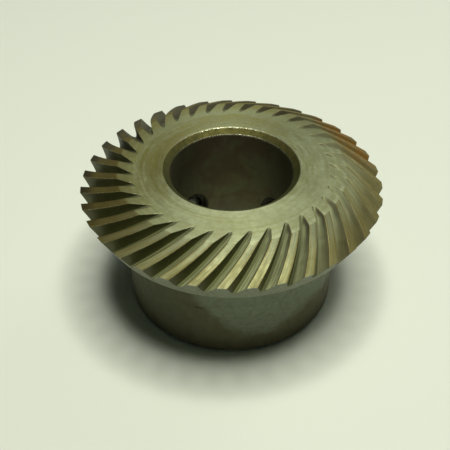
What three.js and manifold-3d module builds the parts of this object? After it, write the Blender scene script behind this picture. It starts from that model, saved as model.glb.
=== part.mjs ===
// Spiral bevel gear with a plain hub, and the two set screws that lock it to its shaft.
// Millimetres, +Z up along the gear's axis, origin at the centre of the hub's bottom face.

import * as THREE from 'three';
import { mergeVertices } from 'three/addons/utils/BufferGeometryUtils.js';
import Module from 'manifold-3d';

const wasm = await Module();
wasm.setup();

// Blank: heights above the hub's bottom face and radii from the axis
const TOTAL_HEIGHT = 19.2;
const BORE_RADIUS = 7.7;
const BORE_CHAMFER_WIDTH = 0.9;
const BORE_CHAMFER_DEPTH = 0.65;
const HUB_RADIUS = 13.4;
const HUB_CHAMFER = 0.4;
const FACE_CONE_RADIUS = 14.2;
const TIP_RADIUS = 18.9;
const TIP_HEIGHT = 16.6;
const BACK_CONE_ANGLE = THREE.MathUtils.degToRad(30);
const BACK_CONE_LENGTH = 3.8;
const BLANK_SEGMENTS = 70;

// Teeth: each gap is a tapered slot that follows a right-hand spiral down the root cone
const TOOTH_COUNT = 35;
const ROOT_CONE_ANGLE = THREE.MathUtils.degToRad(37);
const ROOT_START_RADIUS = 12.3;
const FIRST_GAP_ANGLE = THREE.MathUtils.degToRad(88.4);
const SPIRAL_ANGLE = THREE.MathUtils.degToRad(35);
const PRESSURE_ANGLE = THREE.MathUtils.degToRad(20);
const ROOT_WIDTH = 0.32;
const CUTTER_HEIGHT = 2.6;
const CUTTER_INNER_RADIUS = 11.8;
const CUTTER_OUTER_RADIUS = 19.6;
const CUTTER_STEPS = 6;

// Set screws: M5 by 5, hexagon socket, cup point, in radial holes through the hub wall
const SCREW_HOLE_RADIUS = 2.5;
const SCREW_HEIGHT = 7.4;
const SCREW_RADIUS = 2.25;
const SCREW_LENGTH = 5;
const SCREW_END_CHAMFER = 0.4;
const CUP_RADIUS = 1.25;
const CUP_DEPTH = 0.7;
const SOCKET_ACROSS_FLATS = 2.5;
const SOCKET_DEPTH = 2.2;
const ROUND_SEGMENTS = 32;
const SET_SCREWS = [
  { name: 'set_screw_left', angle: THREE.MathUtils.degToRad(138), tipRadius: 8.3 },
  { name: 'set_screw_right', angle: THREE.MathUtils.degToRad(42), tipRadius: 7.85 },
];

// A closed three.js geometry as a solid that can be cut
function toSolid(geometry) {
  const bare = geometry.clone();
  bare.deleteAttribute('normal');
  bare.deleteAttribute('uv');
  const merged = mergeVertices(bare, 1e-5);
  return new wasm.Manifold(new wasm.Mesh({
    numProp: 3,
    vertProperties: new Float32Array(merged.attributes.position.array),
    triVerts: new Uint32Array(merged.index.array),
  }));
}

function toGeometry(solid) {
  const { vertProperties, triVerts } = solid.getMesh();
  const geometry = new THREE.BufferGeometry();
  geometry.setAttribute('position', new THREE.BufferAttribute(vertProperties, 3));
  geometry.setIndex(new THREE.BufferAttribute(triVerts, 1));
  geometry.computeVertexNormals();
  return geometry;
}

function steel(color, roughness) {
  return new THREE.MeshStandardMaterial({ color, roughness, metalness: 1 });
}

// A profile of [radius, height] points turned about +Z
function turned(profile, segments) {
  const points = profile.map(([radius, height]) => new THREE.Vector2(radius, height));
  return new THREE.LatheGeometry(points, segments).rotateX(Math.PI / 2);
}

// The turned blank: hub, back cone, face cone, flat front face and chamfered bore
function makeBlank() {
  const rimRadius = TIP_RADIUS - BACK_CONE_LENGTH * Math.sin(BACK_CONE_ANGLE);
  const rimHeight = TIP_HEIGHT - BACK_CONE_LENGTH * Math.cos(BACK_CONE_ANGLE);
  const chamferRadius = BORE_RADIUS + BORE_CHAMFER_WIDTH;
  return turned([
    [BORE_RADIUS, BORE_CHAMFER_DEPTH],
    [chamferRadius, 0],
    [HUB_RADIUS - HUB_CHAMFER, 0],
    [HUB_RADIUS, HUB_CHAMFER],
    [HUB_RADIUS, rimHeight],
    [rimRadius, rimHeight],
    [TIP_RADIUS, TIP_HEIGHT],
    [FACE_CONE_RADIUS, TOTAL_HEIGHT],
    [chamferRadius, TOTAL_HEIGHT],
    [BORE_RADIUS, TOTAL_HEIGHT - BORE_CHAMFER_DEPTH],
    [BORE_RADIUS, BORE_CHAMFER_DEPTH],
  ], BLANK_SEGMENTS);
}

// A place in the gap: radius along the root cone, height square to the cone, and side -1 to 1 across the gap
function gapPoint(rootRadius, height, side) {
  const turn = Math.tan(SPIRAL_ANGLE) / Math.cos(ROOT_CONE_ANGLE) * Math.log(rootRadius / ROOT_START_RADIUS);
  const angle = FIRST_GAP_ANGLE - turn;
  const radial = new THREE.Vector3(Math.cos(angle), Math.sin(angle), 0);
  const clockwise = new THREE.Vector3(Math.sin(angle), -Math.cos(angle), 0);
  const up = new THREE.Vector3(0, 0, 1);
  const downSlope = radial.clone().multiplyScalar(Math.cos(ROOT_CONE_ANGLE))
    .addScaledVector(up, -Math.sin(ROOT_CONE_ANGLE));
  const square = radial.clone().multiplyScalar(Math.sin(ROOT_CONE_ANGLE))
    .addScaledVector(up, Math.cos(ROOT_CONE_ANGLE));
  const across = downSlope.multiplyScalar(Math.sin(SPIRAL_ANGLE))
    .addScaledVector(clockwise, -Math.cos(SPIRAL_ANGLE));
  const rootHeight = TOTAL_HEIGHT - (rootRadius - ROOT_START_RADIUS) * Math.tan(ROOT_CONE_ANGLE);
  const halfWidth = ROOT_WIDTH / 2 + height * Math.tan(PRESSURE_ANGLE);
  return radial.multiplyScalar(rootRadius)
    .addScaledVector(up, rootHeight)
    .addScaledVector(square, height)
    .addScaledVector(across, side * halfWidth);
}

// One tooth gap: a box bent along the spiral, narrow at the root and open at the top
function makeGapCutter() {
  const cutter = new THREE.BoxGeometry(2, 1, 1, 1, 1, CUTTER_STEPS);
  const position = cutter.attributes.position;
  for (let i = 0; i < position.count; i++) {
    const rootRadius = THREE.MathUtils.lerp(CUTTER_INNER_RADIUS, CUTTER_OUTER_RADIUS, position.getZ(i) + 0.5);
    const height = CUTTER_HEIGHT * (position.getY(i) + 0.5);
    const point = gapPoint(rootRadius, height, position.getX(i));
    position.setXYZ(i, point.x, point.y, point.z);
  }
  return cutter;
}

// A shape made along +Y turned to lie on the radius at an angle, +Y pointing outwards
function layOnRadius(geometry, angle, radius) {
  return geometry
    .translate(0, radius, 0)
    .rotateZ(angle - Math.PI / 2)
    .translate(0, 0, SCREW_HEIGHT);
}

function makeScrewHole(angle) {
  const margin = 1;
  const length = HUB_RADIUS - BORE_RADIUS + 2 * margin;
  const hole = new THREE.CylinderGeometry(SCREW_HOLE_RADIUS, SCREW_HOLE_RADIUS, length, ROUND_SEGMENTS);
  return layOnRadius(hole, angle, (HUB_RADIUS + BORE_RADIUS) / 2);
}

// Hub, teeth and bore are cut from one blank
function makeGearBody() {
  let body = toSolid(makeBlank());
  const cutter = makeGapCutter();
  for (let tooth = 0; tooth < TOOTH_COUNT; tooth++) {
    const turnedCutter = cutter.clone().rotateZ(2 * Math.PI * tooth / TOOTH_COUNT);
    body = body.subtract(toSolid(turnedCutter));
  }
  for (const { angle } of SET_SCREWS) {
    body = body.subtract(toSolid(makeScrewHole(angle)));
  }
  const mesh = new THREE.Mesh(toGeometry(body), steel(0x8c8f76, 0.45));
  mesh.name = 'gear_body';
  return mesh;
}

// A set screw with its cup point towards the bore and its hexagon socket facing out
function makeSetScrew({ name, angle, tipRadius }) {
  const profile = [
    [0, CUP_DEPTH],
    [CUP_RADIUS, 0],
    [SCREW_RADIUS, SCREW_RADIUS - CUP_RADIUS],
    [SCREW_RADIUS, SCREW_LENGTH - SCREW_END_CHAMFER],
    [SCREW_RADIUS - SCREW_END_CHAMFER, SCREW_LENGTH],
    [0, SCREW_LENGTH],
  ].map(([radius, along]) => new THREE.Vector2(radius, along));
  const shank = layOnRadius(new THREE.LatheGeometry(profile, ROUND_SEGMENTS), angle, tipRadius);
  const cornerRadius = SOCKET_ACROSS_FLATS / Math.sqrt(3);
  const hexagon = new THREE.CylinderGeometry(cornerRadius, cornerRadius, 2 * SOCKET_DEPTH, 6);
  const socket = layOnRadius(hexagon, angle, tipRadius + SCREW_LENGTH);
  const screw = toSolid(shank).subtract(toSolid(socket));
  const mesh = new THREE.Mesh(toGeometry(screw), steel(0x2c2c28, 0.5));
  mesh.name = name;
  return mesh;
}

const group = new THREE.Group();
group.add(makeGearBody());
for (const screw of SET_SCREWS) {
  group.add(makeSetScrew(screw));
}

export default group;
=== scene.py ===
import math

import bmesh
import bpy
import numpy as np
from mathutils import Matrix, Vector


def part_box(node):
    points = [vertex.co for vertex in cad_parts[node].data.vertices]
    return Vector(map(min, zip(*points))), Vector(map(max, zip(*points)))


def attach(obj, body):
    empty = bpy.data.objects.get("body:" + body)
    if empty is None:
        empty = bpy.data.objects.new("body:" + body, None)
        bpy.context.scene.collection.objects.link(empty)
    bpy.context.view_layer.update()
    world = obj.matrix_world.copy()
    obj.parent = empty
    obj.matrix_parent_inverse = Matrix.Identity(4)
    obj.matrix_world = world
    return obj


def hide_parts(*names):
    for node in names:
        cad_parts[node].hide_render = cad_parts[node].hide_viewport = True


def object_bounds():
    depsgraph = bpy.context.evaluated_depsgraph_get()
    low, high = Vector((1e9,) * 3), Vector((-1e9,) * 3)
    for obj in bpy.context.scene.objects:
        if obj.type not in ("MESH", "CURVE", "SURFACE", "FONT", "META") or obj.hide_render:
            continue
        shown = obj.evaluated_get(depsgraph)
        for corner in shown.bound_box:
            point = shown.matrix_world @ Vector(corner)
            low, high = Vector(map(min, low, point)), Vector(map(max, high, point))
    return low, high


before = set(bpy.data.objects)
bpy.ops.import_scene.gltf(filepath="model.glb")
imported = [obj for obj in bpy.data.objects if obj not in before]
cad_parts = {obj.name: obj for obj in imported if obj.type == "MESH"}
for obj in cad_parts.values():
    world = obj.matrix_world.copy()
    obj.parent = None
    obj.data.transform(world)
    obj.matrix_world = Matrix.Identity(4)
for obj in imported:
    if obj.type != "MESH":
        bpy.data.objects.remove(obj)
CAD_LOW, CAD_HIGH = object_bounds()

MM = 0.001

# The gear's driving sizes in millimetres and radians. BORE, MOUTH, HUB, FACE_BREAK (where the flat face
# ends), TIP, RIM, ROOT_START and TOE are radii about +Z, and heights are above the hub's foot.
BODY_LOW, BODY_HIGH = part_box("gear_body")
HEIGHT = (BODY_HIGH.z - BODY_LOW.z) / MM
BORE = 7.7
CHAMFER_WIDTH = 0.9
CHAMFER_DEPTH = 0.65
MOUTH = BORE + CHAMFER_WIDTH
HUB = 13.4
HUB_CHAMFER = 0.4
FACE_BREAK = 14.2
TIP = 18.9
TIP_HEIGHT = 16.6
BACK_CONE = math.radians(30)
BACK_LENGTH = 3.8
RIM = TIP - BACK_LENGTH * math.sin(BACK_CONE)
RIM_HEIGHT = TIP_HEIGHT - BACK_LENGTH * math.cos(BACK_CONE)

TEETH = 35
PITCH_ANGLE = 2 * math.pi / TEETH
ROOT_CONE = math.radians(37)
ROOT_START = 12.3
TOE = 11.9
FIRST_GAP = math.radians(88.4)
SPIRAL = math.radians(35)
TWIST = math.tan(SPIRAL) / math.cos(ROOT_CONE)
COAST_SLOPE = math.tan(math.radians(17))
DRIVE_SLOPE = math.tan(math.radians(23.5))
ROOT_WIDTH = 0.32
ROOT_FILLET = 0.5
FLANK_CROWN = 0.05
LEAST_FLANK = 0.07
LAND_ROUND = 0.16
BREAK_ROUND = 0.06
EDGE_ROUND = 0.12
RIM_ROUND = 0.15
HUB_FILLET = 0.45
HUB_ROUND = 0.1
RUN_OUT = 0.5
GEAR_SHARP = math.radians(38)

# Set screws and the tapped holes that they run in, in millimetres
SCREWS = {
    "left": {"angle": math.radians(138), "tip": 8.3},
    "right": {"angle": math.radians(42), "tip": 7.85},
}
SCREW_HEIGHT = 7.4
SCREW_LENGTH = 5.0
THREAD_PITCH = 0.8
THREAD_OUTER = 2.46
THREAD_INNER = 2.03
HOLE_OUTER = 2.52
HOLE_INNER = 2.1
HOLE_START = BORE - 1.1
HOLE_END = HUB + 0.8
HOLE_CHAMFER = 0.12
END_CHAMFER = 0.6
END_ROUND = 0.05
CUP_RADIUS = 1.25
CUP_DEPTH = 0.7
SOCKET_FLATS = 2.5
SOCKET_DEPTH = 2.2
SOCKET_POINT = 0.7
SOCKET_EDGE = 0.1
SCREW_COLUMNS = 72
SCREW_SLICE = 0.05
SCREW_SHARP = math.radians(34)
HOLE_COLUMNS = 54
HOLE_SLICE = THREAD_PITCH / 9


# ---------------------------------------------------------------- mesh helpers

def smooth_min(a, b, width):
    """The lower of a and b, with the corner between them rounded over width."""
    blend = np.maximum(width - np.abs(a - b), 0)
    return np.minimum(a, b) - blend ** 2 / (4 * width)


def smooth_max(a, b, width):
    """The higher of a and b, rounded in the same way."""
    return -smooth_min(-a, -b, width)


def rounded(corners):
    """An outline whose corners, each (across, up, rounding), are turned into small arcs. Its points are
    (across, up, worn), where worn is 1 on the arcs."""
    points = [np.array([*corners[0][:2], 0.0])]
    for before, here, after in zip(corners, corners[1:], corners[2:]):
        middle = np.array(here[:2])
        back = np.array(before[:2]) - middle
        on = np.array(after[:2]) - middle
        start = middle + back / np.linalg.norm(back) * here[2]
        end = middle + on / np.linalg.norm(on) * here[2]
        for t in (0, 1 / 3, 2 / 3, 1):
            bend = (1 - t) ** 2 * start + 2 * t * (1 - t) * middle + t ** 2 * end
            points.append(np.array([*bend, 1.0]))
    points.append(np.array([*corners[-1][:2], 0.0]))
    return points


def divided(points, longest, near):
    """The outline with more points: one near to each end of a long stretch, and none of those between them
    further apart than longest."""
    out = [points[0]]
    for a, b in zip(points, points[1:]):
        length = np.linalg.norm((b - a)[:2])
        if length > 3 * near:
            count = math.ceil((length - 2 * near) / longest)
            shares = np.linspace(near / length, 1 - near / length, count + 1)
            for share in shares:
                out.append(np.array([*(a + (b - a) * share)[:2], 0.0]))
        out.append(b)
    return out


def grid_mesh(name, rows, layers=None, caps=False):
    """A mesh of rows of points in millimetres, each row closed round. With caps the first and last rows close
    on their middles; without, the last row joins the first. layers are values of each point."""
    count, width = rows.shape[:2]
    vertices = rows.reshape(-1, 3)
    last = count - 1 if caps else count
    column = np.arange(width)
    onward = (column + 1) % width
    faces = []
    for i in range(last):
        here = i * width
        there = (i + 1) % count * width
        quads = np.stack([here + column, here + onward, there + onward, there + column], -1)
        faces += quads.tolist()
    if caps:
        vertices = np.vstack([vertices, rows[0].mean(0), rows[-1].mean(0)])
        middle = count * width
        end = last * width
        for k, n in zip(column.tolist(), onward.tolist()):
            faces.append((middle, n, k))
        for k, n in zip(column.tolist(), onward.tolist()):
            faces.append((middle + 1, end + k, end + n))
    mesh = bpy.data.meshes.new(name)
    mesh.from_pydata((vertices * MM).tolist(), [], faces)
    for key, values in (layers or {}).items():
        layer = mesh.attributes.new(key, "FLOAT", "POINT")
        layer.data.foreach_set("value", values.ravel().astype(np.float32))
    whole = bmesh.new()
    whole.from_mesh(mesh)
    bmesh.ops.recalc_face_normals(whole, faces=whole.faces)
    whole.to_mesh(mesh)
    whole.free()
    piece = bpy.data.objects.new(name, mesh)
    bpy.context.scene.collection.objects.link(piece)
    return piece


def shade(piece, sharp):
    """Smooth shading, with edges that turn by more than sharp left hard."""
    piece.data.polygons.foreach_set("use_smooth", [True] * len(piece.data.polygons))
    piece.data.set_sharp_from_angle(angle=sharp)


# ---------------------------------------------------------------- gear body

def gap_angle(root_radius):
    """The angle of the first gap's middle where it crosses this radius of the root cone."""
    return FIRST_GAP - TWIST * np.log(root_radius / ROOT_START)


def top_height(root_radius):
    """How far the blank's surface is above the root cone, square to it."""
    fall = (root_radius - ROOT_START) * math.tan(ROOT_CONE)
    flat = fall / math.cos(ROOT_CONE)
    slope = (HEIGHT - TIP_HEIGHT) / (TIP - FACE_BREAK)
    cone = (fall - (root_radius - FACE_BREAK) * slope) / (math.cos(ROOT_CONE) + slope * math.sin(ROOT_CONE))
    return smooth_min(flat, cone, BREAK_ROUND)


def heel_radius(height):
    """The root cone's radius under the point where a line at this height above it meets the back cone."""
    sin_b, cos_b = math.sin(BACK_CONE), math.cos(BACK_CONE)
    sin_r, cos_r, tan_r = math.sin(ROOT_CONE), math.cos(ROOT_CONE), math.tan(ROOT_CONE)
    reach = cos_b * (TIP - height * sin_r)
    reach += sin_b * (HEIGHT + ROOT_START * tan_r + height * cos_r - TIP_HEIGHT)
    return reach / (cos_b + sin_b * tan_r)


# What a row of the gear's mesh holds of each point. The last four are layers that its material reads.
RADIUS, ANGLE, UP, DEPTH, EDGE, ACROSS, INLAND = range(7)
LAYERS = {"depth": DEPTH, "edge": EDGE, "across": ACROSS, "inland": INLAND}

# Where the points lie across half a gap and half a tooth: shares of the root, of the flank and of the land.
# A column is a side and a sample of that side.
ROOT_SHARES = (0.0, 0.55)
FLANK_SHARES = (-0.05, 0.1, 0.28, 0.5, 0.72, 0.9, 1.0)
LAND_SHARES = (0.07, 0.2, 0.5, 1.0)
LAND_SAMPLE = len(ROOT_SHARES) + len(FLANK_SHARES) - 1
SAMPLES = LAND_SAMPLE + 1 + len(LAND_SHARES)
COLUMNS = [(-1, k) for k in range(SAMPLES - 1, 0, -1)] + [(1, k) for k in range(SAMPLES - 1)]

# Where the rows of points lie: shares of the way along a tooth and down the back cone
TOOTH_ROWS = (*np.linspace(0, 0.985, 37), 0.995, 1.0)
BACK_ROWS = (0.03, 0.12, 0.35, 0.65, 0.9)


def half_profile(root_radius, side):
    """Half a gap and half a tooth, on the coast side (1) or the drive side (-1): the points' distances from
    the root's middle and heights above the root cone, the blank's height, and the shift to the coast side."""
    top = top_height(root_radius)
    rise = max(top, 0)
    slope = COAST_SLOPE if side > 0 else DRIVE_SLOPE
    shift = rise * (DRIVE_SLOPE - COAST_SLOPE) / 2
    flank = max(rise * slope, LEAST_FLANK)
    half_pitch = PITCH_ANGLE / 2 * math.cos(SPIRAL) * (root_radius + rise * math.sin(ROOT_CONE))
    land = half_pitch - side * shift - ROOT_WIDTH / 2 - flank
    distance = np.array(
        [share * ROOT_WIDTH / 2 for share in ROOT_SHARES]
        + [ROOT_WIDTH / 2 + share * flank for share in FLANK_SHARES]
        + [ROOT_WIDTH / 2 + flank + share * land for share in LAND_SHARES]
    )
    if top < 0:
        return distance, np.full(SAMPLES, top), top, shift
    share = np.clip((distance - ROOT_WIDTH / 2) / flank, 0, 1)
    crown = FLANK_CROWN * 4 * share * (1 - share) * min(1, rise)
    straight = (distance - ROOT_WIDTH / 2 - crown) / slope
    height = smooth_max(straight, 0 * straight, ROOT_FILLET)
    return distance, smooth_min(height, top, LAND_ROUND), top, shift


def tooth_row(share):
    """One row of points across a gap, this share of the way from the flat face to the heel. A point is
    (radius, angle, height, depth, edge, across, inland): depth is below the tooth's top, edge is 1 on the
    coast side's edge of a land and -1 on the drive side's, across is the distance from the root's middle, and
    inland is the distance in from the land's edge, with more where the gap runs out into the face."""
    row = []
    for side, k in COLUMNS:
        height = 1.0
        # the root radius and the height depend on each other, and settle in a few rounds
        for _ in range(6):
            radius = TOE + share * (heel_radius(height) - TOE)
            distance, heights, top, shift = half_profile(radius, side)
            height = heights[k]
        reach = radius + height * math.sin(ROOT_CONE)
        angle = gap_angle(radius) - (side * distance[k] + shift) / (math.cos(SPIRAL) * reach)
        up = HEIGHT - (radius - ROOT_START) * math.tan(ROOT_CONE) + height * math.cos(ROOT_CONE)
        edge = side * float(k in (LAND_SAMPLE, LAND_SAMPLE + 1) and top > 0.1)
        inland = max(0, distance[k] - distance[LAND_SAMPLE]) + max(0, RUN_OUT - top)
        row.append((reach, angle, up, max(0, top - height), edge, side * distance[k], inland))
    return np.array(row)


def back_row(heel, share):
    """A row this share of the way down the back cone from each point of the heel."""
    row = heel.copy()
    start = (TIP - heel[:, RADIUS]) / math.sin(BACK_CONE)
    along = start + (BACK_LENGTH - start) * share
    row[:, RADIUS] = TIP - along * math.sin(BACK_CONE)
    row[:, UP] = TIP_HEIGHT - along * math.cos(BACK_CONE)
    row[:, DEPTH] = 0
    row[:, EDGE] = 0
    return row


def turned_rows(lower, upper):
    """Rows of the turned surfaces, from the rim's lower edge down the hub, through the bore and over the flat
    face. Their angles go from those of the row before to those of the row after, and are even in between."""
    corners = [
        (lower[0, RADIUS], lower[0, UP], 0),
        (RIM, RIM_HEIGHT, RIM_ROUND),
        (HUB, RIM_HEIGHT, HUB_FILLET),
        (HUB, HUB_CHAMFER, HUB_ROUND),
        (HUB - HUB_CHAMFER, 0, HUB_ROUND),
        (MOUTH, 0, EDGE_ROUND),
        (BORE, CHAMFER_DEPTH, EDGE_ROUND),
        (BORE, HEIGHT - CHAMFER_DEPTH, EDGE_ROUND),
        (MOUTH, HEIGHT, EDGE_ROUND),
        (upper[:, RADIUS].mean(), HEIGHT, 0),
    ]
    outline = divided(rounded(corners), longest=2.2, near=0.1)[1:-1]
    start, end = lower[:, ANGLE].mean(), upper[:, ANGLE].mean()
    even = start - PITCH_ANGLE * (np.arange(len(COLUMNS)) / len(COLUMNS) - 0.5)
    rows = []
    for i, (radius, up, worn) in enumerate(outline):
        share = (i + 1) / (len(outline) + 1)
        hold = abs(2 * share - 1) ** 8
        nearest = lower[:, ANGLE] if share < 0.5 else upper[:, ANGLE] + (start - end)
        in_fillet = abs(radius - HUB) <= 0.4 and up >= RIM_HEIGHT / 2
        row = np.zeros_like(lower)
        row[:, RADIUS] = radius
        row[:, ANGLE] = nearest * hold + even * (1 - hold) + share * (end - start)
        row[:, UP] = up
        row[:, EDGE] = 0 if in_fillet else worn
        row[:, INLAND] = 1
        rows.append(row)
    return rows


def round_the_gear(row):
    """One gap's points repeated for every tooth."""
    copies = np.tile(row, (TEETH, 1))
    copies[:, ANGLE] -= np.repeat(np.arange(TEETH), len(row)) * PITCH_ANGLE
    return copies


def radial_to_gear(points, angle):
    """Points (out from the gear's axis, sideways, up from the screws' height), turned to this angle."""
    out, side, up = points[..., 0], points[..., 1], points[..., 2]
    return np.stack([
        out * math.cos(angle) - side * math.sin(angle),
        out * math.sin(angle) + side * math.cos(angle),
        up + SCREW_HEIGHT,
    ], -1)


def thread_radius(turn, along, inner, outer):
    """The radius of a right-hand thread, flat at its root and its crest, at this turn about its axis and
    distance along it."""
    phase = (along / THREAD_PITCH - turn / (2 * math.pi)) % 1
    ramp = np.abs(2 * phase - 1)
    return inner + (outer - inner) * np.clip(1.6 * ramp - 0.2, 0, 1)


def tapped_hole(angle):
    """The solid that is cut away for a tapped hole."""
    along = np.arange(HOLE_START, HOLE_END, HOLE_SLICE)[:, None]
    turn = np.arange(HOLE_COLUMNS)[None, :] * 2 * math.pi / HOLE_COLUMNS
    radius = thread_radius(turn, along, HOLE_INNER, HOLE_OUTER)
    radius = np.maximum(radius, HOLE_OUTER + HOLE_CHAMFER + (along - HUB))
    points = np.stack([along + 0 * turn, radius * np.cos(turn), radius * np.sin(turn)], -1)
    return grid_mesh("tapped_hole", radial_to_gear(points, angle), caps=True)


def cut(piece, tool):
    """Cuts tool out of piece."""
    modifier = piece.modifiers.new("hole", "BOOLEAN")
    modifier.operation = "DIFFERENCE"
    modifier.solver = "MANIFOLD"
    modifier.object = tool
    bpy.context.view_layer.update()
    result = bpy.data.meshes.new_from_object(piece.evaluated_get(bpy.context.evaluated_depsgraph_get()))
    piece.modifiers.clear()
    piece.data = result
    bpy.data.objects.remove(tool)


def make_gear_body(material):
    """The teeth, back cone, hub, bore and face as one closed grid, with the tapped holes cut out of it."""
    teeth = [tooth_row(share) for share in TOOTH_ROWS]
    back = [back_row(teeth[-1], share) for share in BACK_ROWS]
    rows = [round_the_gear(row) for row in teeth + back + turned_rows(back[-1], teeth[0])]
    table = np.array(rows)
    radius, angle = table[..., RADIUS], table[..., ANGLE]
    points = np.stack([radius * np.cos(angle), radius * np.sin(angle), table[..., UP]], -1)
    layers = {name: table[..., index] for name, index in LAYERS.items()}
    piece = grid_mesh("gear_body_steel", points, layers)
    for screw in SCREWS.values():
        cut(piece, tapped_hole(screw["angle"]))
    shade(piece, GEAR_SHARP)
    piece.data.materials.clear()
    piece.data.materials.append(material)
    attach(piece, "gear")
    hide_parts("gear_body")


# ---------------------------------------------------------------- set screws

def make_screw(side, material):
    """A set screw with a cup point towards the bore and a hexagon socket at its outer end."""
    angle, tip = SCREWS[side]["angle"], SCREWS[side]["tip"]
    turn = np.arange(SCREW_COLUMNS) * 2 * math.pi / SCREW_COLUMNS
    rows = []

    def ring(along, radius):
        radius = radius + 0 * turn
        rows.append(np.stack([tip + along + 0 * turn, radius * np.cos(turn), radius * np.sin(turn)], -1))

    for share in (0.05, 0.3, 0.6, 0.9, 1.0):
        ring(CUP_DEPTH * (1 - share), CUP_RADIUS * share)
    edge = THREAD_OUTER - END_CHAMFER
    ring(0, CUP_RADIUS + END_ROUND)
    ring(0, edge - END_ROUND)
    for along in np.arange(0.02, SCREW_LENGTH, SCREW_SLICE):
        cone = edge + np.minimum(along, SCREW_LENGTH - along)
        thread = thread_radius(turn, tip + along, THREAD_INNER, THREAD_OUTER)
        ring(along, np.minimum(thread, cone))
    corner = math.pi / 3
    hexagon = SOCKET_FLATS / 2 / np.cos(turn % corner - corner / 2)
    ring(SCREW_LENGTH, edge - END_ROUND)
    ring(SCREW_LENGTH, np.maximum(hexagon, SOCKET_FLATS / 2 / math.cos(corner / 2)) + 0.08)
    ring(SCREW_LENGTH - SOCKET_EDGE, hexagon)
    for share in (0.35, 0.7, 1.0):
        ring(SCREW_LENGTH - SOCKET_DEPTH * share, hexagon)
    for share in (0.9, 0.5, 0.05):
        ring(SCREW_LENGTH - SOCKET_DEPTH - SOCKET_POINT * (1 - share), SOCKET_FLATS / 2 * share)
    piece = grid_mesh(f"set_screw_{side}_steel", radial_to_gear(np.array(rows), angle), caps=True)
    shade(piece, SCREW_SHARP)
    piece.data.materials.append(material)
    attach(piece, f"{side}_screw")
    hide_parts(f"set_screw_{side}")


# ---------------------------------------------------------------- materials

class Look:
    """One procedural material, with short calls for the nodes that are used often."""

    def __init__(self, name):
        self.material = bpy.data.materials.new(name)
        self.material.use_nodes = True
        self.tree = self.material.node_tree
        self.shader = self.tree.nodes["Principled BSDF"]

    def add(self, kind, inputs, **settings):
        node = self.tree.nodes.new(kind)
        for key, value in settings.items():
            setattr(node, key, value)
        for key, value in inputs.items():
            self.put(node.inputs[key], value)
        return node

    def put(self, socket, value):
        if isinstance(value, bpy.types.NodeSocket):
            self.tree.links.new(value, socket)
        else:
            socket.default_value = value

    def surface(self, **values):
        """Gives the shader's inputs their values. An underscore in a name stands for a space."""
        for name, value in values.items():
            self.put(self.shader.inputs[name.replace("_", " ")], value)

    def math(self, operation, a, b=0.0):
        return self.add("ShaderNodeMath", {0: a, 1: b}, operation=operation).outputs[0]

    def product(self, first, *others):
        for other in others:
            first = self.math("MULTIPLY", first, other)
        return first

    def diagonal(self, a, b):
        """The length that has a and b as its two square parts."""
        return self.math("SQRT", self.math("ADD", self.math("POWER", a, 2.0), self.math("POWER", b, 2.0)))

    def layer(self, name):
        return self.add("ShaderNodeAttribute", {}, attribute_name=name).outputs["Fac"]

    def noise(self, place, scale, detail=3.0, roughness=0.55, distortion=0.0):
        inputs = {"Vector": place, "Scale": scale, "Detail": detail, "Roughness": roughness,
                  "Distortion": distortion}
        return self.add("ShaderNodeTexNoise", inputs).outputs["Fac"]

    def step(self, value, low, high, start=0.0, end=1.0):
        """start up to low, end from high on, and a smooth change between them."""
        inputs = {"Value": value, "From Min": low, "From Max": high, "To Min": start, "To Max": end}
        return self.add("ShaderNodeMapRange", inputs, interpolation_type="SMOOTHSTEP").outputs["Result"]

    def band(self, value, low, high, soft):
        """1 between low and high and 0 outside them, with soft ends."""
        rise = self.step(value, low - soft, low + soft)
        fall = self.step(value, high - soft, high + soft, 1.0, 0.0)
        return self.product(rise, fall)

    def tint(self, share, below, above):
        """The colour below where share is 0 and above where it is 1."""
        node = self.add("ShaderNodeMix", {"Factor": share}, data_type="RGBA")
        for index, colour in ((6, below), (7, above)):
            self.put(node.inputs[index], (*colour, 1) if isinstance(colour, tuple) else colour)
        return node.outputs[2]

    def stain(self, steel, colour, *shares):
        """The steel turned towards colour by the product of these shares."""
        return self.tint(self.product(*shares), steel, colour)

    def vector(self, x, y, z):
        return self.add("ShaderNodeCombineXYZ", {0: x, 1: y, 2: z}).outputs[0]

    def wrapped(self, along, angle, along_scale, angle_scale):
        """A place for textures that changes along an outline and round the axis, without a seam."""
        return self.vector(
            self.product(along, along_scale),
            self.product(self.math("COSINE", angle), angle_scale),
            self.product(self.math("SINE", angle), angle_scale),
        )

    def millimetres(self):
        """The point on the surface, in millimetres."""
        source = self.add("ShaderNodeTexCoord", {}).outputs["Object"]
        return self.add("ShaderNodeVectorMath", {0: source, "Scale": 1 / MM}, operation="SCALE").outputs[0]

    def bump(self, height, strength, distance, below=None):
        inputs = {"Height": height, "Strength": strength, "Distance": distance}
        if below is not None:
            inputs["Normal"] = below
        return self.add("ShaderNodeBump", inputs).outputs[0]


# Colours of the clean and the soiled steel, and of painted light and shade on it
FACE_STEEL = (0.55, 0.595, 0.36)
FACE_DULL = (0.445, 0.475, 0.275)
# painted shade on the face towards +Y
FACE_FAR_SHADE = (0.255, 0.285, 0.16)
FACE_BROWN = (0.22, 0.19, 0.055)
FACE_OLIVE = (0.32, 0.32, 0.094)
LAND_STEEL = (0.385, 0.39, 0.195)
LAND_DULL = (0.285, 0.275, 0.112)
# painted light and shade: an even, greener tone on the lands' inner ends towards -Y
LAND_NEAR_PAINTED_LIGHT = (0.31, 0.335, 0.195)
LAND_BROWN = (0.215, 0.172, 0.045)
# painted light: a lit copy of the steel for the bright flanks
DRIVE_FLANK_LIT = (0.80, 0.86, 0.46)
DRIVE_DULL = (0.42, 0.45, 0.20)
# painted shade: the lit copy toned down towards +X
DRIVE_SOFT = (0.50, 0.52, 0.30)
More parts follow.
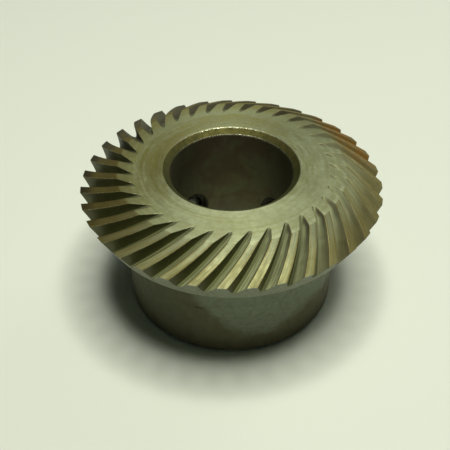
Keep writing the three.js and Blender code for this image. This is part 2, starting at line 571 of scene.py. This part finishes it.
# painted shade in the gaps away from -Y
FAR_GAP_SHADE = (0.115, 0.105, 0.050)
ROOT_OLIVE = (0.35, 0.37, 0.175)
# painted shade for the roots
ROOT_SHADE = (0.205, 0.215, 0.105)
# painted shade: dark bands and edge lines
PAINTED_SHADE_DARK = (0.13, 0.12, 0.06)
# painted shade: the dark flanks' copy of the steel. The colour after it is their painted sheen at the heel,
# and the hub's ring tone
COAST_FLANK_SHADED = (0.070, 0.070, 0.030)
RING_TONE_AND_SHEEN = (0.125, 0.123, 0.072)
# soot, and painted shade where it lies on the lands towards -X +Y
SOOT_AND_SHADE = (0.095, 0.088, 0.052)
# dark oil in the hub's scratch, and painted shade in the tapped holes
OIL_AND_HOLE_SHADE = (0.035, 0.035, 0.02)
# grime, and painted shade on the tips and at the hub's foot
GRIME_AND_SHADE = (0.075, 0.060, 0.030)
BACK_CONE_STEEL = (0.245, 0.262, 0.192)
HUB_GREEN = (0.212, 0.240, 0.172)
HUB_WARM = (0.122, 0.104, 0.055)
HUB_BROWN = (0.096, 0.092, 0.049)
BORE_OLIVE = (0.172, 0.170, 0.085)
# painted shade on the bore's sides
BORE_SIDE_SHADE = (0.075, 0.075, 0.040)
BORE_BROWN = (0.140, 0.112, 0.060)
CHAMFER_GOLD = (0.142, 0.130, 0.036)
CHAMFER_DARK = (0.090, 0.092, 0.028)
RUST = (0.33, 0.18, 0.035)
# worn edges, and painted highlights along the bore's mouth
WEAR_AND_GLINT = (0.60, 0.60, 0.42)
SCREW_DARK = (0.12, 0.13, 0.105)
SCREW_WORN = (0.26, 0.27, 0.21)

# Where the hub's scratch is and how far its tide line wavers, in millimetres, and the depths of fine relief,
# in metres
SCRATCH_ACROSS = (-3.6, -2.4)
SCRATCH_UP = (7.3, 7.5)
TIDE_SWING = 3.4
MARK_DEPTH = 0.00005
GRAIN_DEPTH = 0.00003


class GearLook(Look):
    """The gear's steel: turned, oily, partly bright and partly rusted. Each part of the surface has its own
    method. A step on a place has its ends in millimetres, and one on a noise has two of its levels. The
    colours and where they change were fitted to one photo, and some of them are painted light and shade."""

    def __init__(self):
        super().__init__("gear_steel_look")
        self.point = self.millimetres()
        split = self.add("ShaderNodeSeparateXYZ", {0: self.point}).outputs
        self.x, self.y, self.z = split[0], split[1], split[2]
        self.radius = self.diagonal(self.x, self.y)
        self.depth, self.edge, self.across, self.inland = (self.layer(name) for name in LAYERS)
        self.make_noises()
        self.make_masks()

    def make_noises(self):
        """Rings from turning change only along the outline, and streaks on the teeth follow their spiral."""
        angle = self.math("ARCTAN2", self.y, self.x)
        outline = self.math("ADD", self.radius, self.z)
        self.fine_rings = self.noise(self.wrapped(outline, angle, 14.0, 0.6), 1.0, 4.0, 0.7)
        self.wide_rings = self.noise(self.wrapped(outline, angle, 2.2, 0.6), 1.0, 3.0, 0.6)
        self.arcs = self.noise(self.wrapped(outline, angle, 2.6, 4.5), 1.0, 4.0, 0.6)
        turned = self.product(self.math("LOGARITHM", self.radius, math.e), TWIST)
        spiral = self.math("ADD", angle, turned)
        self.streaks = self.noise(self.wrapped(self.radius, spiral, 0.35, 55.0), 1.0, 4.0, 0.65)
        self.clouds = self.noise(self.point, 0.22, 4.0, 0.55, 0.4)
        self.spots = self.noise(self.point, 0.9, 5.0, 0.6)
        self.mottle = self.noise(self.point, 1.7, 4.0, 0.7, 0.3)
        self.grain = self.noise(self.point, 7.0, 3.0, 0.6)

    def make_masks(self):
        """Shares that more than one part of the surface uses."""
        x, y, z, radius = self.x, self.y, self.z, self.radius
        # the toothed part, outside the flat face and above the rim's lower edge
        self.tops = self.product(
            self.step(radius, FACE_BREAK - 0.1, FACE_BREAK + 0.1),
            self.step(z, RIM_HEIGHT, RIM_HEIGHT + 0.2),
        )
        # the walls of the gaps, which begin nearer the top where a gap runs out into the face
        shallow = self.product(self.step(self.depth, 0.0, 0.035), self.step(radius, 13.0, 14.0, 1.0, 0.0))
        self.gap = self.math("MAXIMUM", self.step(self.depth, 0.01, 0.13), shallow)
        # painted shade: the heels darker and browner towards +X
        self.heel_shade = self.product(self.step(x, 9.0, 15.0, 0.0, 0.72), self.step(radius, 14.6, 17.5))
        # a brown collar round the bore's mouth towards -X
        self.collar = self.product(
            self.step(x, -8.0, -4.0, 0.62, 0.0),
            self.step(y, -6.0, -1.0),
            self.step(radius, 9.2, 10.6, 1.0, 0.0),
        )
        # painted highlight: bright specks along the edge of the bore's mouth towards +Y
        self.glints = self.product(
            self.step(self.edge, 0.6, 1.0),
            self.step(radius, MOUTH + 0.3, MOUTH + 0.5, 1.0, 0.0),
            self.step(y, 2.0, 7.0),
            self.step(self.grain, 0.46, 0.60),
        )

    def face(self):
        """The flat face: mottled and ringed, stained round the bore, and duller and darker towards -X and +Y,
        partly painted shade.
        """
        x, y, radius, arcs = self.x, self.y, self.radius, self.arcs
        away = self.math("SUBTRACT", y, x)
        steel = self.tint(self.step(self.clouds, 0.35, 0.68), FACE_STEEL, FACE_DULL)
        # old oil in wide rings and round the bore, and painted shade in the same olive towards -X
        steel = self.stain(steel, FACE_OLIVE, self.step(self.wide_rings, 0.42, 0.72, 0.0, 0.45))
        oily = self.product(self.step(radius, 9.0, 12.0, 0.65, 0.0), self.step(arcs, 0.36, 0.70))
        steel = self.stain(steel, FACE_OLIVE, oily, self.step(y, -9.0, -2.0))
        left_shade = self.step(x, -13.0, -4.0, 0.85, 0.0)
        steel = self.stain(steel, FACE_OLIVE, left_shade, self.step(self.wide_rings, 0.35, 0.65, 0.5, 1.0))
        # painted shade: the face darker towards +Y
        steel = self.stain(steel, FACE_FAR_SHADE, self.step(y, 0.0, 11.0, 0.0, 0.75))
        # brown in broken rings round the bore, and its collar
        ringed = self.product(self.band(radius, 9.2, 11.6, 0.6), self.step(away, -3.0, 7.0))
        steel = self.stain(steel, FACE_BROWN, ringed, self.step(arcs, 0.34, 0.64, 0.15, 0.5))
        steel = self.stain(steel, FACE_BROWN, self.collar)
        # duller and paler arcs, grit and mottling; the arcs are paler towards +X -Y and duller towards -X +Y,
        # painted light and shade
        duller = self.step(arcs, 0.46, 0.66)
        steel = self.stain(steel, FACE_OLIVE, duller, self.step(away, -14.0, 12.0, 0.1, 0.5))
        paler = self.step(arcs, 0.48, 0.34, 0.0, 0.18)
        steel = self.stain(steel, FACE_STEEL, paler, self.step(away, -6.0, 6.0, 1.0, 0.2))
        gritty = self.step(self.grain, 0.50, 0.66, 0.0, 0.35)
        steel = self.stain(steel, FACE_BROWN, gritty, self.step(away, -6.0, 6.0, 0.1, 1.0))
        steel = self.stain(steel, FACE_BROWN, self.step(self.mottle, 0.38, 0.66, 0.0, 0.22))
        # dirt between the ends of the teeth
        between = self.step(radius, 12.4, 13.4)
        return self.stain(steel, FACE_BROWN, between, self.step(away, -4.0, 10.0, 0.0, 0.5))

    def land(self):
        """The tops of the teeth: streaked, browner along their edges, and browner and darker away from -Y,
        partly painted shade.
        """
        x, y, radius = self.x, self.y, self.radius
        far = self.math("SUBTRACT", self.product(y, 0.7), self.product(x, 0.8))
        land = self.tint(self.step(self.streaks, 0.38, 0.64), LAND_STEEL, LAND_DULL)
        # painted light and shade: an even, greener tone on the lands' inner ends towards -Y, less towards -X
        near = self.product(self.step(radius, 14.4, 17.6, 0.9, 0.0), self.step(y, -11.0, -5.0, 1.0, 0.0))
        land = self.stain(land, LAND_NEAR_PAINTED_LIGHT, near, self.step(x, -13.0, -4.0, 0.2, 1.0))
        # browner and darker towards +Y and -X: partly painted shade
        land = self.stain(land, LAND_BROWN, self.step(far, -6.5, 7.5, 0.0, 0.9))
        border = self.step(self.inland, 0.02, 0.34, 0.75, 0.0)
        land = self.stain(land, LAND_BROWN, border, self.step(self.streaks, 0.30, 0.62, 0.3, 1.0))
        # grime and painted shade on the tips towards -X and +Y, and soot and painted shade on the last of
        # them
        left_dark_tips = self.product(self.step(radius, 16.8, 18.3), self.step(far, 3.0, 13.0))
        back_dark_tips = self.product(self.step(radius, 16.8, 18.5), self.step(y, 1.0, 9.0))
        dark_tips = self.math("MAXIMUM", left_dark_tips, back_dark_tips)
        land = self.stain(land, GRIME_AND_SHADE, dark_tips, self.step(self.grain, 0.3, 0.6, 0.5, 1.0))
        sooty_shade = self.product(self.step(radius, 14.4, 16.0), self.step(far, 14.0, 16.5))
        land = self.stain(land, SOOT_AND_SHADE, sooty_shade, self.step(self.mottle, 0.60, 0.40, 0.35, 1.0))
        # painted shade on the heels towards +X
        return self.stain(land, LAND_BROWN, self.heel_shade)

    def lit_drive_side(self):
        """The flanks that are bright in the photo, taken to be the drive side: painted light, a lit copy of
        the steel, darker away from -Y by painted shade.
        """
        x, y = self.x, self.y
        # painted light: the bright, streaked lit copy of the steel
        drive = self.tint(self.step(self.streaks, 0.43, 0.58), DRIVE_FLANK_LIT, DRIVE_DULL)
        # painted shade: the lit copy toned down towards +X
        drive = self.stain(drive, DRIVE_SOFT, self.step(x, 3.0, 12.0, 0.0, 0.7))
        # painted shade on the heels towards +X
        drive = self.stain(drive, LAND_BROWN, self.heel_shade)
        # painted shade: darker away from -Y, less so towards +X
        drive = self.stain(drive, FAR_GAP_SHADE, self.step(y, 0.0, 7.0), self.step(x, 6.0, 12.0, 1.0, 0.45))
        # painted shade: a dark band under the land, towards +X -Y
        brow = self.product(
            self.step(self.depth, 0.25, 0.8, 0.85, 0.0),
            self.step(self.radius, 13.5, 17.5, 1.0, 0.35),
            self.step(x, 1.0, 7.0),
            self.step(y, -8.0, -3.0, 1.0, 0.1),
        )
        return self.stain(drive, PAINTED_SHADE_DARK, brow)

    def root(self):
        """The bottoms of the gaps, darkened by painted shade at the toe, towards +X and away from -Y."""
        shut = self.math("MAXIMUM", self.step(self.radius, 12.6, 14.6, 1.0, 0.0), self.step(self.x, 2.0, 8.0))
        # painted shade at the toe and towards +X
        root = self.tint(shut, ROOT_OLIVE, ROOT_SHADE)
        # painted shade away from -Y
        return self.stain(root, FAR_GAP_SHADE, self.step(self.y, -8.0, 6.0, 0.0, 0.5))

    def shaded_coast_side(self):
        """The flanks that are dark in the photo: painted shade, a dark copy of the steel, with a painted
        sheen towards the heel and mottled with soot.
        """
        # painted shade, lighter towards the heel by a painted sheen
        coast = self.tint(self.step(self.radius, 16.6, 18.8), COAST_FLANK_SHADED, RING_TONE_AND_SHEEN)
        return self.stain(coast, SOOT_AND_SHADE, self.step(self.mottle, 0.42, 0.64, 0.0, 0.45))

    def gaps(self):
        """Both flanks of a gap and the root between them."""
        sides = self.tint(self.step(self.across, -0.34, -0.16), self.lit_drive_side(), self.root())
        return self.tint(self.step(self.across, 0.0, 0.2), sides, self.shaded_coast_side())

    def back_cone(self, steel):
        """Where the point's radius is the back cone's at its height, outside the hub."""
        slope = math.tan(BACK_CONE)
        slack = self.math("SUBTRACT", self.product(self.z, slope), self.radius)
        slack = self.math("ABSOLUTE", self.math("ADD", slack, TIP - TIP_HEIGHT * slope))
        colour = self.tint(self.step(self.mottle, 0.44, 0.70, 0.0, 0.4), BACK_CONE_STEEL, HUB_BROWN)
        outer = self.step(self.radius, RIM - 0.3, RIM - 0.1)
        return self.stain(steel, colour, self.step(slack, 0.02, 0.06, 1.0, 0.0), outer)

    def hub(self, steel):
        """The hub: green above a wavering tide line of brown oil, with a small scratch, and a foot darkened
        by grime and painted shade.
        """
        x, y, z = self.x, self.y, self.z
        tide = self.math("MAXIMUM", self.step(x, -8.2, 3.2, 12.5, 3.3), self.step(x, 2.0, 12.0, 2.2, 5.2))
        tide = self.math("ADD", tide, self.product(self.noise(self.point, 0.55, 3.0, 0.6), TIDE_SWING))
        above = self.math("ADD", self.math("SUBTRACT", z, tide), TIDE_SWING / 2)
        soiled = self.tint(self.step(x, -8.0, 0.0), HUB_BROWN, HUB_WARM)
        hub = self.tint(self.step(above, -1.1, 1.1, 0.8, 0.0), HUB_GREEN, soiled)
        # grime and painted shade at the foot
        hub = self.stain(hub, GRIME_AND_SHADE, self.step(z, 0.0, 3.5, 0.4, 0.0))
        scratch = self.product(self.band(x, *SCRATCH_ACROSS, 0.3), self.band(z, *SCRATCH_UP, 0.2))
        hub = self.stain(hub, OIL_AND_HOLE_SHADE, scratch, self.step(y, -2.0, -1.0, 0.85, 0.0))
        hub = self.stain(hub, HUB_BROWN, self.step(self.mottle, 0.45, 0.70, 0.0, 0.35))
        hub = self.stain(hub, RING_TONE_AND_SHEEN, self.step(self.fine_rings, 0.45, 0.8, 0.0, 0.35))
        return self.stain(steel, hub, self.step(z, RIM_HEIGHT - 0.3, RIM_HEIGHT + 0.05, 1.0, 0.0))

    def bore(self, steel):
        """The upper chamfer, golden towards +Y, and the bore's wall, greener low down, with painted shade at
        the sides.
        """
        x, y, z, radius = self.x, self.y, self.z, self.radius
        gold = self.product(self.step(y, -3.0, 6.0), self.step(self.mottle, 0.40, 0.58))
        chamfer = self.step(radius, MOUTH - 0.11, MOUTH - 0.01, 1.0, 0.0)
        upper = self.step(z, HEIGHT / 2, HEIGHT / 2 + 1)
        steel = self.stain(steel, self.tint(gold, CHAMFER_DARK, CHAMFER_GOLD), chamfer, upper)
        wall = self.tint(self.step(self.clouds, 0.40, 0.62), BORE_OLIVE, BORE_BROWN)
        wall = self.stain(wall, HUB_GREEN, self.step(z, 3.0, 9.0, 0.6, 0.0))
        # painted shade on the bore's wall at the sides
        wall = self.stain(wall, BORE_SIDE_SHADE, self.step(self.math("ABSOLUTE", x), 3.5, 7.0, 0.0, 0.45))
        return self.stain(steel, wall, self.step(radius, BORE + 0.03, BORE + 0.09, 1.0, 0.0))

    def rust(self, steel):
        """Rust on the teeth towards +X +Y, and specks of it round the bore's mouth."""
        x, y, radius = self.x, self.y, self.radius
        rusty = self.product(
            self.step(x, 8.0, 12.5),
            self.step(y, 2.0, 7.0),
            self.step(self.spots, 0.36, 0.60, 0.35, 0.95),
        )
        steel = self.stain(steel, FACE_BROWN, rusty, self.step(radius, 13.2, 16.0, 0.0, 0.8))
        teeth = self.product(rusty, self.step(radius, 14.2, 16.8))
        specks = self.product(
            self.band(radius, 7.9, 9.3, 0.3),
            self.step(self.grain, 0.60, 0.68, 0.0, 0.6),
            self.step(y, 0.0, 6.0),
        )
        return self.stain(steel, RUST, self.math("MAXIMUM", teeth, specks))

    def worn_edges(self, steel):
        """Edges rubbed bright, painted highlights along the bore's mouth towards +Y, and painted shade that
        darkens the drive side's edges and the lands' edges towards +Y.
        """
        rubbed = self.product(
            self.step(self.edge, 0.6, 1.0),
            self.step(self.grain, 0.45, 0.62, 0.0, 0.55),
            self.step(self.radius, BORE + 0.3, BORE + 0.5, 0.15, 1.0),
            self.step(self.collar, 0.0, 0.5, 1.0, 0.1),
        )
        # worn edges, with painted highlights along the bore's mouth towards +Y
        steel = self.stain(steel, WEAR_AND_GLINT, self.math("MAXIMUM", rubbed, self.glints))
        # painted shade: a dark line along the drive side's edges of the lands
        steel = self.stain(steel, PAINTED_SHADE_DARK, self.step(self.edge, -0.9, -0.3, 0.8, 0.0))
        # painted shade: dark coast-side edges on the lands towards +Y
        dusky = self.product(self.tops, self.step(self.y, 2.0, 9.0, 0.0, 0.8))
        return self.stain(steel, PAINTED_SHADE_DARK, self.step(self.edge, 0.3, 0.9), dusky)

    def tapped_holes(self, steel):
        """Painted shade on the walls of the holes, found by their distance from each screw's axis."""
        for screw in SCREWS.values():
            cos_a, sin_a = math.cos(screw["angle"]), math.sin(screw["angle"])
            out = self.math("ADD", self.product(self.x, cos_a), self.product(self.y, sin_a))
            aside = self.math("SUBTRACT", self.product(self.y, cos_a), self.product(self.x, sin_a))
            off = self.diagonal(aside, self.math("SUBTRACT", self.z, SCREW_HEIGHT))
            inside = self.step(off, HOLE_OUTER + 0.02, HOLE_OUTER + 0.22, 1.0, 0.0)
            # painted shade inside the hole
            steel = self.stain(steel, OIL_AND_HOLE_SHADE, inside, self.step(out, 6.0, 7.0))
        return steel

    def metallic(self):
        """Less metallic on the drive side and the root except towards +X, to be as bright as in the photo."""
        driven = self.step(self.across, 0.0, 0.2, 1.0, 0.0)
        # painted light: the drive side and the root made less metallic so they read brighter
        lit_share = self.product(self.gap, driven, self.step(self.x, 4.0, 10.0, 1.0, 0.0))
        return self.step(lit_share, 0.0, 1.0, 0.9, 0.62)

    def roughness(self):
        """Rough in rings, and smoother in the streaks of the lands and where the edge glints."""
        rings = self.product(self.math("SUBTRACT", self.fine_rings, 0.5), 0.12)
        rough = self.math("ADD", self.step(self.spots, 0.3, 0.7, 0.60, 0.70), rings)
        streaked = self.product(self.tops, self.step(self.streaks, 0.40, 0.62, 0.06, 0.0))
        glossy = self.math("ADD", streaked, self.product(self.glints, 0.35))
        return self.math("SUBTRACT", rough, glossy)

    def relief(self):
        """Marks of turning, or of cutting on the teeth, with a fine grain over both."""
        toothed = self.math("MAXIMUM", self.tops, self.gap)
        inputs = {0: toothed, 2: self.fine_rings, 3: self.streaks}
        marks = self.add("ShaderNodeMix", inputs, data_type="FLOAT").outputs[0]
        return self.bump(self.grain, 0.25, GRAIN_DEPTH, self.bump(marks, 0.5, MARK_DEPTH))


def gear_look():
    look = GearLook()
    steel = look.tint(look.tops, look.face(), look.land())
    steel = look.tint(look.gap, steel, look.gaps())
    for part in (look.back_cone, look.hub, look.bore, look.rust, look.worn_edges, look.tapped_holes):
        steel = part(steel)
    tangent = look.add("ShaderNodeTangent", {}, direction_type="RADIAL", axis="Z").outputs[0]
    look.surface(Base_Color=steel, Metallic=look.metallic(), Roughness=look.roughness(), Normal=look.relief())
    look.surface(Anisotropic=0.4, Anisotropic_Rotation=0.25, Tangent=tangent)
    return look.material


def screw_look():
    look = Look("screw_steel_look")
    point = look.millimetres()
    grain = look.noise(point, 5.0, 5.0, 0.6)
    colour = look.tint(look.step(grain, 0.52, 0.68), SCREW_DARK, SCREW_WORN)
    rough = look.step(grain, 0.3, 0.7, 0.5, 0.32)
    normal = look.bump(look.noise(point, 16.0, 3.0), 0.3, GRAIN_DEPTH)
    look.surface(Base_Color=colour, Metallic=0.85, Roughness=rough, Normal=normal)
    return look.material


# ---------------------------------------------------------------- stage, light and camera

# Lights, in metres and watts. The key is a ring of soft discs overhead, chosen for a shadow like the photo's,
# and isn't a reading of the room's lamps.
KEY_PLACE = (0.029, -0.028, 0.43)
KEY_LAMPS = 16
KEY_RING = 0.085
KEY_SIZE = 0.06
KEY_POWER = 1.67
KEY_COLOUR = (1.0, 1.0, 0.94)
WINDOW_PLACE = (0.22, 0.30, 0.17)
WINDOW_SIZE = 0.2
WINDOW_POWER = 0.2
WINDOW_COLOUR = (0.95, 1.0, 0.95)
WORLD_STRENGTH = 0.021
WORLD_COLOUR = (0.72, 0.95, 1.20)
FLOOR_HALF = 0.8
FLOOR_COLOUR = (0.84, 0.88, 0.74)

# The camera, from one fit to the photo's grid and to circles on the gear: lens and sensor in millimetres, the
# rest in metres and radians
LENS = 73.72
SENSOR = 36.0
CLIP_START = 0.005
VIEW_AZIMUTH = math.radians(4.204)
VIEW_ELEVATION = math.radians(40.785)
VIEW_DISTANCE = 0.12045
VIEW_TARGET = (-0.00081, -0.00001, 0.0096)


def aim(thing, place, target):
    """Puts a light or a camera at place and turns it to look at target."""
    thing.location = place
    thing.rotation_mode = "QUATERNION"
    thing.rotation_quaternion = (Vector(target) - Vector(place)).to_track_quat("-Z", "Y")


def make_floor():
    mesh = bpy.data.meshes.new("floor")
    corners = [(FLOOR_HALF * x, FLOOR_HALF * y, 0) for x, y in ((-1, -1), (1, -1), (1, 1), (-1, 1))]
    mesh.from_pydata(corners, [], [(0, 1, 2, 3)])
    floor = bpy.data.objects.new("floor", mesh)
    floor.location.z = CAD_LOW.z
    bpy.context.scene.collection.objects.link(floor)
    look = Look("floor_look")
    look.surface(Base_Color=(*FLOOR_COLOUR, 1), Roughness=0.9)
    floor.data.materials.append(look.material)


def make_light(name, place, size, power, colour):
    lamp = bpy.data.lights.new(name, "AREA")
    lamp.shape = "DISK"
    lamp.size = size
    lamp.energy = power
    lamp.color = colour
    light = bpy.data.objects.new(name, lamp)
    bpy.context.scene.collection.objects.link(light)
    aim(light, place, (0, 0, HEIGHT * MM / 2))


def make_key_light():
    for lamp in range(KEY_LAMPS):
        turn = 2 * math.pi * lamp / KEY_LAMPS
        offset = Vector((KEY_RING * math.cos(turn), KEY_RING * math.sin(turn), 0))
        place = Vector(KEY_PLACE) + offset
        make_light(f"key_light_{lamp + 1}", place, KEY_SIZE, KEY_POWER / KEY_LAMPS, KEY_COLOUR)


def make_world():
    world = bpy.data.worlds.new("soft_room")
    world.use_nodes = True
    background = world.node_tree.nodes["Background"]
    background.inputs["Color"].default_value = (*WORLD_COLOUR, 1)
    background.inputs["Strength"].default_value = WORLD_STRENGTH
    bpy.context.scene.world = world


def make_camera():
    level = math.cos(VIEW_ELEVATION)
    side, front = math.sin(VIEW_AZIMUTH) * level, -math.cos(VIEW_AZIMUTH) * level
    back = Vector((side, front, math.sin(VIEW_ELEVATION)))
    data = bpy.data.cameras.new("camera")
    data.lens = LENS
    data.sensor_width = SENSOR
    data.clip_start = CLIP_START
    camera = bpy.data.objects.new("camera", data)
    bpy.context.scene.collection.objects.link(camera)
    aim(camera, Vector(VIEW_TARGET) + back * VIEW_DISTANCE, VIEW_TARGET)
    bpy.context.scene.camera = camera


make_gear_body(gear_look())
screw_material = screw_look()
for side in SCREWS:
    make_screw(side, screw_material)
make_floor()
make_world()
make_key_light()
make_light("window_light", WINDOW_PLACE, WINDOW_SIZE, WINDOW_POWER, WINDOW_COLOUR)
make_camera()
bpy.context.scene.view_settings.view_transform = "Standard"
